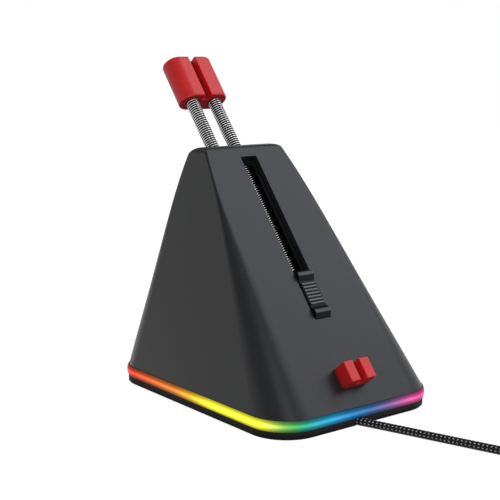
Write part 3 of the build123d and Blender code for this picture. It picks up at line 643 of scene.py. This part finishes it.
finishes = {
    "shell_plastic": moulded("shell_plastic", (0.0192, 0.0200, 0.0221), 0.35, spread=0.05, patch=18.0,
                             specular=0.31),
    "base_plastic": base_material(),
    "red_plastic": red_material(),
    "button_plastic": button_material(),
    "track_plastic": moulded("track_plastic", (0.036, 0.036, 0.037), 0.5, specular=0.3),
    "ring_diffuser": light_ring_material(),
    "spring_steel": metal("spring_steel", (0.72, 0.72, 0.73), 0.24, grain=2500.0),
    "screw_steel": metal("screw_steel", (0.5, 0.5, 0.51), 0.34),
    "ballast_steel": metal("ballast_steel", (0.22, 0.22, 0.23), 0.5, stretch=(1.0, 0.08, 1.0)),
    "board": moulded("board_green", (0.010, 0.085, 0.030), 0.3, spread=0.2, grain=600.0),
    "led_resin": moulded("led_resin", (0.7, 0.66, 0.42), 0.2),
    "chip_black": moulded("chip_black", grey(0.012), 0.5),
    "connector_white": moulded("connector_white", (0.62, 0.58, 0.48), 0.4),
    "cable_braid": braid_material(),
    "tie_fabric": strap_material(),
    "plug_plastic": plug_grip_material(plug_start, exit_along),
    "plug_metal": plug_shell_material(latches, exit_along, exit_out),
    "plug_white": moulded("plug_white", grey(0.72), 0.4),
    "foot_rubber": rubber_material(),
}
for row in frame["record"]["subparts"]:
    mesh = nodes[row["node"]].data
    mesh.materials.clear()
    mesh.materials.append(finishes[row["material_slot"]])

for name, width in SOFT_EDGES.items():
    joined = nodes[name].modifiers.new("joined", "WELD")
    joined.merge_threshold = WELD_GAP
    soft_edge = nodes[name].modifiers.new("soft_edge", "BEVEL")
    soft_edge.width = width
    soft_edge.segments = EDGE_SEGMENTS
    soft_edge.limit_method = "ANGLE"
    soft_edge.angle_limit = EDGE_ANGLE
    soft_edge.harden_normals = True


# Power cable
cable = tubes("power_cable", [tube_shape(cable_line, CABLE / 2, CABLE_SIDES)], finishes["cable_braid"])
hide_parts("cable_lead", "cable_coil", "cable_tail")
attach(cable, "base_body")


# Arm springs: wound wire round a dark core of painted shade, from the slider up to the clip
def spring_shapes(side):
    """The wire and the dark core of painted shade of the spring on one side."""
    up, into, across = np.array(UP), np.array(INTO), np.array((1.0, 0.0, 0.0))
    centre = np.array(RIDGE) + side * SPRING_X * across + SPRING_DEPTH * into
    turns = (SPRING_LENGTH - WIRE) / SPRING_PITCH
    count = int(turns * WIRE_STEPS)
    angle = np.linspace(0.0, turns * FULL_TURN, count)
    outward = np.cos(angle)[:, None] * across + np.sin(angle)[:, None] * into
    climb = SPRING_FOOT + WIRE / 2 + (SPRING_LENGTH - WIRE) * np.linspace(0.0, 1.0, count)
    helix = centre + climb[:, None] * up + (SPRING_RADIUS - WIRE / 2) * outward
    wire = tube_shape(helix, WIRE / 2, WIRE_SIDES, outward)
    climb = SPRING_FOOT + WIRE + (SPRING_LENGTH - 2 * WIRE) * np.linspace(0.0, 1.0, SHADE_CORE_RINGS)
    verts, faces, values = tube_shape(centre + climb[:, None] * up, SHADE_CORE_RADIUS, SHADE_CORE_SIDES)
    # The whole core takes the wire's darkest colour, half a turn from its crest: painted shade seen between the
    # turns
    values[:, 1] = 0.5
    return [wire, (verts, faces, values)]


spring_wire = wound_wire_material()
for side, label in ((-1, "left"), (1, "right")):
    spring = tubes("arm_spring_" + label, spring_shapes(side), spring_wire)
    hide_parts("spring_" + label)
    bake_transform(spring)


# Floor: white to the camera and in reflections, and it keeps the object's shadow
floor_mesh = bpy.data.meshes.new("floor")
corners = [(x * FLOOR_HALF, y * FLOOR_HALF, 0.0) for x, y in ((-1, -1), (1, -1), (1, 1), (-1, 1))]
floor_mesh.from_pydata(corners, [], [(0, 1, 2, 3)])
floor = bpy.data.objects.new("floor", floor_mesh)
scene.collection.objects.link(floor)
floor_white, tree, shader = material("floor_white")
shader.inputs["Base Color"].default_value = (*grey(FLOOR_COLOUR), 1.0)
shader.inputs["Roughness"].default_value = 0.9
shader.inputs["Specular IOR Level"].default_value = 0.0
shader.inputs["Emission Color"].default_value = (*grey(WHITE), 1.0)
rays = add(tree, "ShaderNodeLightPath").outputs
direct = math_node(tree, "MAXIMUM", rays["Is Camera Ray"], rays["Is Transmission Ray"])
seen = math_node(tree, "MAXIMUM", direct, rays["Is Glossy Ray"])
feed(tree, shader.inputs["Emission Strength"], math_node(tree, "MULTIPLY", seen, FLOOR_GLOW))
floor_mesh.materials.append(floor_white)


# World: white to the camera, a pale band low in reflections, and an even light on the object
world = bpy.data.worlds.new("studio")
scene.world = world
world.use_nodes = True
tree = world.node_tree
background = tree.nodes["Background"]
background.inputs["Strength"].default_value = 1.0
sky = grey_ramp(tree, split(tree, coordinate(tree, "Generated"))["Z"], SKY)
rays = add(tree, "ShaderNodeLightPath").outputs
direct = math_node(tree, "MAXIMUM", rays["Is Camera Ray"], rays["Is Transmission Ray"])
around = mixed(tree, rays["Is Glossy Ray"], AMBIENT, sky, kind="FLOAT")
feed(tree, background.inputs["Color"], mixed(tree, direct, around, WHITE, kind="FLOAT"))


# Lamps
def softbox(name, place, aim_height, size, power, colour=grey(1.0)):
    """A soft rectangular lamp, aimed at a height above the middle of the floor."""
    data = bpy.data.lights.new(name, "AREA")
    data.shape = "RECTANGLE"
    data.size, data.size_y = size
    data.energy = power
    data.color = colour
    made = bpy.data.objects.new(name, data)
    scene.collection.objects.link(made)
    made.location = place
    aim = Vector((0.0, 0.0, aim_height)) - Vector(place)
    made.rotation_euler = aim.to_track_quat("-Z", "Y").to_euler()


softbox("key_softbox", (0.77, -0.40, 1.00), aim_height=0.06, size=(1.2, 0.9), power=7.1,
        colour=(0.96, 0.99, 1.05))
softbox("fill_softbox", (-0.33, -0.92, 0.80), aim_height=0.07, size=(0.45, 0.45), power=2.3)
softbox("low_softbox", (-0.75, -0.95, 0.22), aim_height=0.06, size=(0.5, 0.25), power=1.6)


bpy.context.view_layer.update()
